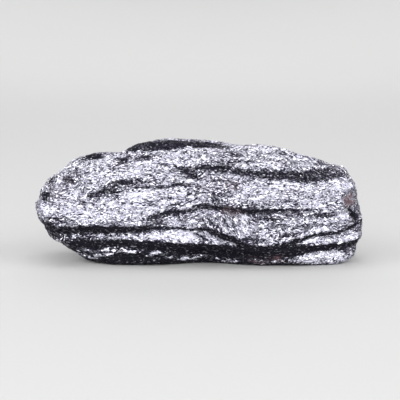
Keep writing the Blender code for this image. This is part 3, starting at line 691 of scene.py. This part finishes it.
def strewn(skin, facing, count, rng):
    """Places picked at random over the piece's ground, with the skin's fields there, by name."""
    names = ("position", "outward", "flow", "grain", "shade", "rust")
    fields = {name: read_field(skin, name) for name in names}
    fields["position"] /= MM
    corners = triangles_of(skin)
    wanted = own_ground(fields["outward"], facing) & (fields["position"][:, 2] > LOWEST_FLAKE)
    wanted = wanted * (1 - (1 - DULL_AND_SHADED_GROUND_SHARE) * np.clip(fields["shade"], 0, 1))
    first, second, third = fields["position"][corners].transpose(1, 0, 2)
    area = np.linalg.norm(np.cross(second - first, third - first), axis=1)
    weights = wanted[corners].min(axis=1) * area
    picked = corners[rng.choice(len(corners), size=count, p=weights / weights.sum())]
    shares = rng.dirichlet((1, 1, 1), size=count)
    found = {}
    for name, values in fields.items():
        split = shares if values.ndim == 1 else shares[:, :, None]
        found[name] = (values[picked] * split).sum(axis=1)
    return found


def flake_mesh(name, facing, count, looks):
    """Small thin flakes set in the skin, most of them along its grain, joined in one mesh."""
    rng = np.random.default_rng([looks.seed, count, len(name)])
    fields = strewn(bpy.data.objects[SKIN].data, facing, count, rng)
    normal = unit(fields["outward"])
    grain = unit(fields["grain"])
    across = np.cross(normal, grain)
    turn = FLAKE_SCATTER * rng.normal(size=(count, 1))
    turned = grain * np.cos(turn) + across * np.sin(turn)
    across = across * np.cos(turn) - grain * np.sin(turn)
    lean = rng.normal(size=(2, count, 1))
    face = unit(normal + turned * FLAKE_LEAN[0] * lean[0] + across * FLAKE_LEAN[1] * lean[1])
    grain = unit(turned - face * dot(turned, face))
    across = np.cross(face, grain)
    size = np.exp(FLAKE_SIZES * rng.normal(size=(count, 1)))
    half_length = looks.flake_length / MM / 2 * size
    half_width = looks.flake_width / MM / 2 * size
    corners = []
    for along_grain, along_width in FLAKE_CORNERS:
        reach = rng.uniform(*FLAKE_SHAPES, size=(count, 1))
        if along_grain:
            rise = rng.uniform(*FLAKE_PROUD, size=(count, 1))
        else:
            rise = -rng.uniform(*FLAKE_SUNK, size=(count, 1))
        out = (grain * along_grain * half_length + across * along_width * half_width) * reach
        corners.append(fields["position"] + out + normal * rise)
    vertices = np.stack(corners, axis=1)
    vertices[:, :, 2] = np.maximum(vertices[:, :, 2], 0)
    each = len(FLAKE_CORNERS)
    faces = np.array(FLAKE_FACES) + each * np.arange(count)[:, None, None]
    mesh = bpy.data.meshes.new(name)
    mesh.from_pydata((vertices.reshape(-1, 3) * MM).tolist(), [], faces.reshape(-1, 3).tolist())
    row = math.ceil(math.sqrt(count))
    square = np.stack([np.arange(count) % row, np.arange(count) // row], axis=1)
    write_map(mesh, (square[:, None, None] + np.array(FLAKE_MAP)) / row)
    write_field(mesh, "cell", np.repeat(rng.uniform(0, CELL_SPREAD, size=(count, 3)), each, axis=0))
    for field in ("flow", "shade", "rust"):
        write_field(mesh, field, np.repeat(fields[field], each, axis=0))
    return mesh


# Materials.


class Field:
    """A value that varies over a surface. An expression on fields adds the Math nodes that work it out."""

    def __init__(self, nodes, socket):
        self.nodes = nodes
        self.socket = socket

    def maths(self, operation, *values):
        """The result of one Math node."""
        return self.nodes.add("ShaderNodeMath", {"operation": operation}, dict(enumerate(values)))

    def __add__(self, other):
        return self.maths("ADD", self, other)

    def __radd__(self, other):
        return self.maths("ADD", other, self)

    def __sub__(self, other):
        return self.maths("SUBTRACT", self, other)

    def __rsub__(self, other):
        return self.maths("SUBTRACT", other, self)

    def __mul__(self, other):
        return self.maths("MULTIPLY", self, other)

    def __rmul__(self, other):
        return self.maths("MULTIPLY", other, self)

    def step(self, low, high):
        """0 below low, 1 above high, and smooth between."""
        settings = {"interpolation_type": "SMOOTHSTEP"}
        inputs = {"Value": self, "From Min": low, "From Max": high}
        return self.nodes.add("ShaderNodeMapRange", settings, inputs)


class Nodes:
    """A material's nodes, added one call at a time."""

    def __init__(self, name):
        self.material = bpy.data.materials.new(name)
        self.material.use_nodes = True
        self.tree = self.material.node_tree
        self.shader = self.tree.nodes["Principled BSDF"]

    def put(self, socket, value):
        """Link a field to a socket, or set the socket to a value."""
        if isinstance(value, Field):
            self.tree.links.new(value.socket, socket)
        else:
            socket.default_value = value

    def add(self, kind, settings, inputs, *outputs):
        """A new node's outputs, with its settings made first and then its sockets set or linked."""
        node = self.tree.nodes.new(kind)
        for name, value in settings.items():
            setattr(node, name, value)
        for name, value in inputs.items():
            self.put(node.inputs[name], value)
        fields = [Field(self, node.outputs[name]) for name in outputs or (0,)]
        return fields if len(fields) > 1 else fields[0]

    def attribute(self, name, output="Fac"):
        """A number, or with output Vector a vector, that the mesh keeps."""
        return self.add("ShaderNodeAttribute", {"attribute_name": name}, {}, output)

    def vectors(self, operation, *values):
        """The result of one Vector Math node."""
        return self.add("ShaderNodeVectorMath", {"operation": operation}, dict(enumerate(values)))

    def mixed(self, share, first, second):
        """A colour between two others."""
        inputs = {"Factor": share, "A": first, "B": second}
        return self.add("ShaderNodeMix", {"data_type": "RGBA"}, inputs, "Result")


def as_colour(value):
    """A colour property with its alpha."""
    return (*value, 1.0)


# The grain of the colours: how many cells of one colour there are to a millimetre, and how many clouds of
# brighter or darker ones, along X, along Y and across the sheets.
CELLS = (1.4, 2.8, 3.4)
CLOUDS = (0.16, 0.33, 0.9)
CLOUD_STRENGTH = 1.1
SHADE_STRENGTH = 0.7
LIGHT_RANGE = (0.27, 0.65)  # the sum of chances where a flake is fully dark and fully bright
GLINT_CHANCE = (0.89, 0.97)  # the chance where a dull wall's glints start and where they are whole
GLINT_STRENGTH = 0.32  # how near a glint comes to a bright flake
DULL_AND_SHADE_CHANCE = 0.9  # how much chance decides which flakes are painted dull and shaded where the shade is half
DULL_AND_SHADE_RANGE = (0.34, 0.66)
STAIN_LEAST = 0.5  # how strongly the least stained flakes take it
STAIN_RANGE = (0.2, 0.8)
TILT = 0.62  # how far each cell's facet turns out of the surface
MEAN = 0.5  # of a chance, and of the clouds' noise
ROUGHNESS = (0.24, 0.16, 0.3)  # at least, by chance and more on dull ground
METAL_LOST = (0.6, 0.3)  # on dull ground and on stains
SPECULAR = 0.12
PAPER_ROUGHNESS = 0.9
PAPER_SPECULAR = 0.1


def flaky_ore(looks):
    """Steel-grey ore in bright and dark flakes, dull where it is broken across and darkened there with
    painted shade, with red-brown stains.
    """
    ore = Nodes("flaky_ore")
    shade = ore.attribute("shade")
    rust = ore.attribute("rust")
    cells = ore.vectors("MULTIPLY", ore.attribute("cell", "Vector"), CELLS)
    chance = ore.add("ShaderNodeTexVoronoi", {}, {"Vector": cells, "Scale": 1.0}, "Color")
    first, second, third = ore.add("ShaderNodeSeparateColor", {}, {0: chance}, 0, 1, 2)
    clouds = ore.vectors("MULTIPLY", ore.attribute("flow", "Vector"), CLOUDS)
    patch = ore.add("ShaderNodeTexNoise", {}, {"Vector": clouds, "Scale": 1.0, "Detail": 2.0}, "Fac")
    # The shade field darkens the flakes here, partly as painted shade.
    light = (first + (patch - MEAN) * CLOUD_STRENGTH - shade * SHADE_STRENGTH).step(*LIGHT_RANGE)
    stained = (rust * (STAIN_LEAST + second)).step(*STAIN_RANGE)
    stain = as_colour(looks.rust)
    dark = ore.mixed(stained, as_colour(looks.dark_flake), stain)
    flakes = ore.mixed(light, dark, as_colour(looks.bright_flake))
    glint = second.step(*GLINT_CHANCE) * GLINT_STRENGTH
    # The walls' near-black colour stands for dull broken ground and for painted shade.
    walls = ore.mixed(stained, as_colour(looks.dull_and_shaded_wall), stain)
    walls = ore.mixed(glint, walls, as_colour(looks.bright_flake))
    # Where the walls' dull, painted-shade colour replaces the flakes.
    dull_and_shaded = (shade + (third - MEAN) * DULL_AND_SHADE_CHANCE).step(*DULL_AND_SHADE_RANGE)
    ore.put(ore.shader.inputs["Base Color"], ore.mixed(dull_and_shaded, flakes, walls))
    smoothest, by_chance, on_dull = ROUGHNESS
    ore.put(ore.shader.inputs["Roughness"], smoothest + by_chance * third + on_dull * dull_and_shaded)
    from_dull, from_stains = METAL_LOST
    metal = 1 - from_dull * dull_and_shaded - from_stains * stained * (1 - dull_and_shaded)
    ore.put(ore.shader.inputs["Metallic"], metal)
    ore.shader.inputs["Specular IOR Level"].default_value = SPECULAR
    upright = ore.add("ShaderNodeNewGeometry", {}, {}, "Normal")
    tilt = ore.vectors("SUBTRACT", chance, (MEAN, MEAN, MEAN))
    turned = ore.vectors("MULTIPLY", tilt, (TILT, TILT, TILT))
    facet = ore.vectors("NORMALIZE", ore.vectors("ADD", upright, turned))
    ore.put(ore.shader.inputs["Normal"], facet)
    return ore.material


def pale_paper(colour):
    """A plain matt floor."""
    paper = Nodes("pale_paper")
    paper.shader.inputs["Base Color"].default_value = as_colour(colour)
    paper.shader.inputs["Roughness"].default_value = PAPER_ROUGHNESS
    paper.shader.inputs["Specular IOR Level"].default_value = PAPER_SPECULAR
    return paper.material


# What a user would change.


class StoneLooks(bpy.types.PropertyGroup):
    """The sizes and colours of the stone's skin and flakes."""

    grain_length: bpy.props.FloatProperty(
        name="Grain length", description="How long each small facet of the skin is",
        default=0.00058, unit="LENGTH",
    )
    grain_width: bpy.props.FloatProperty(
        name="Grain width", description="How wide each small facet of the skin is",
        default=0.0003, unit="LENGTH",
    )
    flake_length: bpy.props.FloatProperty(
        name="Flake length", description="How long a loose flake is",
        default=0.0008, unit="LENGTH",
    )
    flake_width: bpy.props.FloatProperty(
        name="Flake width", description="How wide a loose flake is",
        default=0.00038, unit="LENGTH",
    )
    bright_flake: bpy.props.FloatVectorProperty(
        name="Bright flake", description="Colour of the brightest flakes",
        default=(0.77, 0.765, 0.87), subtype="COLOR",
    )
    dark_flake: bpy.props.FloatVectorProperty(
        name="Dark flake", description="Colour of the darkest flakes",
        default=(0.035, 0.033, 0.05), subtype="COLOR",
    )
    # The broken walls' colour is dark enough to paint their shade as well as their dullness.
    dull_and_shaded_wall: bpy.props.FloatVectorProperty(
        name="Dull wall", description="Colour of the ledges' broken walls",
        default=(0.0095, 0.009, 0.015), subtype="COLOR",
    )
    rust: bpy.props.FloatVectorProperty(
        name="Rust", description="Colour of the red-brown stains",
        default=(0.135, 0.085, 0.096), subtype="COLOR",
    )
    seed: bpy.props.IntProperty(
        name="Seed", description="Changes where the small grains fall", default=3
    )


class StudioLooks(bpy.types.PropertyGroup):
    """The camera, floor and lights."""

    distance: bpy.props.FloatProperty(
        name="Camera distance", description="From the camera to the stone's middle",
        default=0.4513, unit="LENGTH",
    )
    elevation: bpy.props.FloatProperty(
        name="Camera height", description="How far above level the camera looks from",
        default=math.radians(8), subtype="ANGLE",
    )
    floor: bpy.props.FloatVectorProperty(
        name="Floor", description="Colour of the floor",
        default=(0.5, 0.5, 0.5), subtype="COLOR",
    )


# The stage.

TARGET = (0.38, 0.0, 20.5)  # what the camera looks at, in millimetres
LENS = 120
SENSOR = 36
CLIP_START = 0.01
FLOOR_RADIUS = 1.2
SWEEP = 0.5  # the radius of the floor's upward curve, and so the height of the wall
SWEEP_STEPS = 24
FLOOR_TURNS = 96
WORLD = 0.35  # the grey all round
# Softboxes, as (name, azimuth it stands at and elevation in degrees, distance, width, height, power).
SOFTBOXES = [
    ("front_box", 0.0, 22.0, 1.3, 1.8, 1.0, 21.0),
    ("top_box", 0.0, 88.0, 1.6, 1.4, 1.2, 8.0),
    ("left_box", -70.0, 26.0, 1.4, 1.0, 0.8, 11.0),
    ("right_box", 70.0, 26.0, 1.4, 1.0, 0.8, 11.0),
    ("rear_box", 180.0, 28.0, 1.5, 1.4, 0.9, 9.0),
]


def looking_from(azimuth, elevation):
    """The direction from the stone towards something at that azimuth and elevation, in radians."""
    level = math.cos(elevation)
    return Vector((level * math.sin(azimuth), -level * math.cos(azimuth), math.sin(elevation)))


def aim(thing, place, way):
    """Put a lamp or camera at a place, facing against the given way."""
    thing.location = place
    thing.rotation_euler = way.to_track_quat("Z", "Y").to_euler()


def add_softbox(name, azimuth, elevation, distance, width, height, power):
    """A wide soft lamp that faces the stone."""
    lamp = bpy.data.lights.new(name, "AREA")
    lamp.shape = "RECTANGLE"
    lamp.size = width
    lamp.size_y = height
    lamp.energy = power
    way = looking_from(math.radians(azimuth), math.radians(elevation))
    aim(new_object(name, lamp), way * distance, way)


def add_camera(studio):
    """The camera, looking at the stone's middle."""
    camera = new_object("camera", bpy.data.cameras.new("camera"))
    camera.data.lens = LENS
    camera.data.sensor_width = SENSOR
    camera.data.clip_start = CLIP_START
    way = looking_from(0.0, studio.elevation)
    aim(camera, Vector(TARGET) * MM + way * studio.distance, way)
    bpy.context.scene.camera = camera


def add_floor(studio):
    """A wide pale floor that sweeps up into a low wall all round."""
    turns = np.linspace(0, math.pi / 2, SWEEP_STEPS)
    profile = [(0, 0, 0), (FLOOR_RADIUS / 2, 0, 0)]
    profile += [(FLOOR_RADIUS + SWEEP * math.sin(turn), 0, SWEEP * (1 - math.cos(turn))) for turn in turns]
    mesh = bpy.data.meshes.new("floor")
    mesh.from_pydata(profile, [(k, k + 1) for k in range(len(profile) - 1)], [])
    mesh.materials.append(pale_paper(studio.floor))
    floor = new_object("floor", mesh)
    turned = floor.modifiers.new("turned", "SCREW")
    turned.steps = turned.render_steps = FLOOR_TURNS
    turned.use_merge_vertices = True
    turned.use_smooth_shade = True


# Operators.


class HEMATITE_OT_skin(bpy.types.Operator):
    """Make the stone's skin"""

    bl_idname = "hematite.skin"
    bl_label = "Skin"

    def execute(self, context):
        looks = context.scene.stone_looks
        new_piece(SKIN, skin_mesh(looks), flaky_ore(looks))
        return {"FINISHED"}


class HEMATITE_OT_flakes(bpy.types.Operator):
    """Strew loose flakes over the skin"""

    bl_idname = "hematite.flakes"
    bl_label = "Flakes"

    def execute(self, context):
        looks = context.scene.stone_looks
        material = bpy.data.objects[SKIN].data.materials[0]
        for name, facing, count in FLAKE_PIECES:
            new_piece(name, flake_mesh(name, facing, count, looks), material)
        return {"FINISHED"}


class HEMATITE_OT_studio(bpy.types.Operator):
    """Set up the floor, lights and camera"""

    bl_idname = "hematite.studio"
    bl_label = "Studio"

    def execute(self, context):
        studio = context.scene.studio_looks
        add_floor(studio)
        for softbox in SOFTBOXES:
            add_softbox(*softbox)
        world = bpy.data.worlds.new("studio")
        world.use_nodes = True
        world.node_tree.nodes["Background"].inputs["Color"].default_value = (WORLD, WORLD, WORLD, 1)
        context.scene.world = world
        context.scene.view_settings.view_transform = "Standard"
        add_camera(studio)
        return {"FINISHED"}


class HEMATITE_PT_panel(bpy.types.Panel):
    """Lists what makes the specimen"""

    bl_label = "Hematite"
    bl_space_type = "VIEW_3D"
    bl_region_type = "UI"
    bl_category = "Hematite"

    def draw(self, context):
        for looks in (context.scene.stone_looks, context.scene.studio_looks):
            for name in looks.bl_rna.properties.keys():
                if name not in ("rna_type", "name"):
                    self.layout.prop(looks, name)
        for operator in OPERATORS:
            self.layout.operator(operator.bl_idname)


OPERATORS = (HEMATITE_OT_skin, HEMATITE_OT_flakes, HEMATITE_OT_studio)
CLASSES = (StoneLooks, StudioLooks, *OPERATORS, HEMATITE_PT_panel)


def register():
    """Make the classes and the scene's settings known."""
    for item in CLASSES:
        bpy.utils.register_class(item)
    bpy.types.Scene.stone_looks = bpy.props.PointerProperty(type=StoneLooks)
    bpy.types.Scene.studio_looks = bpy.props.PointerProperty(type=StudioLooks)


def unregister():
    """Take them away again."""
    del bpy.types.Scene.studio_looks
    del bpy.types.Scene.stone_looks
    for item in reversed(CLASSES):
        bpy.utils.unregister_class(item)


def main():
    """Build everything in order."""
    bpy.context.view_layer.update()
    register()
    bpy.ops.hematite.skin()
    bpy.ops.hematite.flakes()
    bpy.ops.hematite.studio()


if __name__ == "__main__":
    main()
